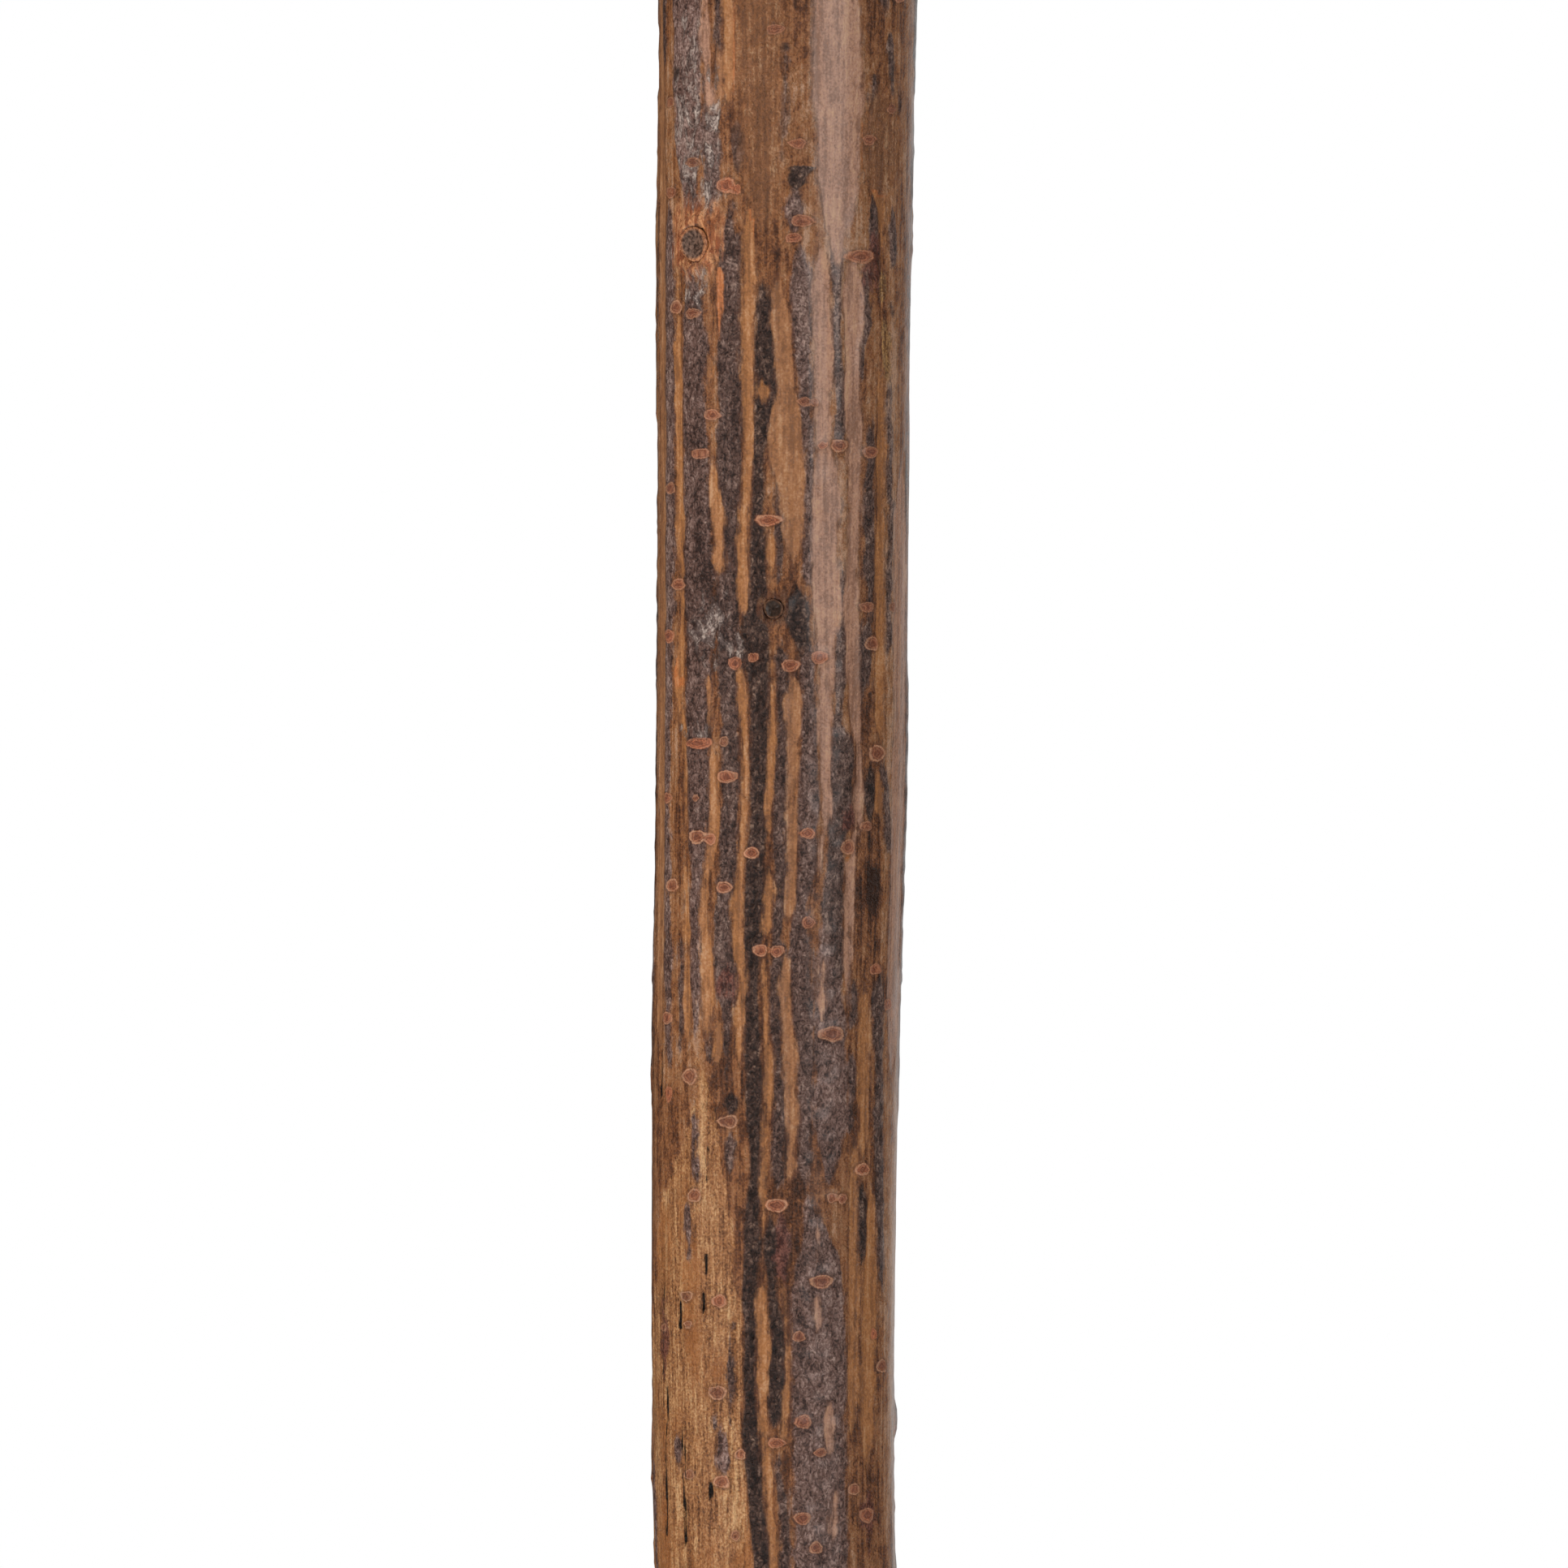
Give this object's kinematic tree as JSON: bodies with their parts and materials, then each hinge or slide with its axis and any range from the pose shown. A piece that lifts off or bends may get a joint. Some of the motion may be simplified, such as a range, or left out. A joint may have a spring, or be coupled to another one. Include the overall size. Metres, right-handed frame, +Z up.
{
  "type": "root cane",
  "caption": "Walking cane made from one bark-on hardwood sapling, its trimmed root turned over as the handle, with a pull-off rubber ferrule on a steel washer.",
  "frame": {"origin": "middle of the ferrule's tread, where the cane meets the ground", "axes": "+Z up along the shaft, +X along the grip, -Y out of the side that the picture shows"},
  "size_m": [0.1346, 0.0551, 0.94],
  "materials": {
    "root_wood": "satin lacquer over sanded root wood",
    "bark": "satin lacquer over streaked natural bark",
    "ferrule_rubber": "moulded matt",
    "washer_steel": "zinc plated"
  },
  "bodies": {
    "stick": {"cane_wood": "root_wood", "shaft_bark": "bark"},
    "ferrule": {"rubber_ferrule": "ferrule_rubber", "ferrule_washer": "washer_steel"}
  },
  "joints": [
    {"name": "ferrule_pull", "type": "slide", "parent": "stick", "child": "ferrule", "axis": [0, 0, -1], "range_m": [0, 0.036]}
  ]
}
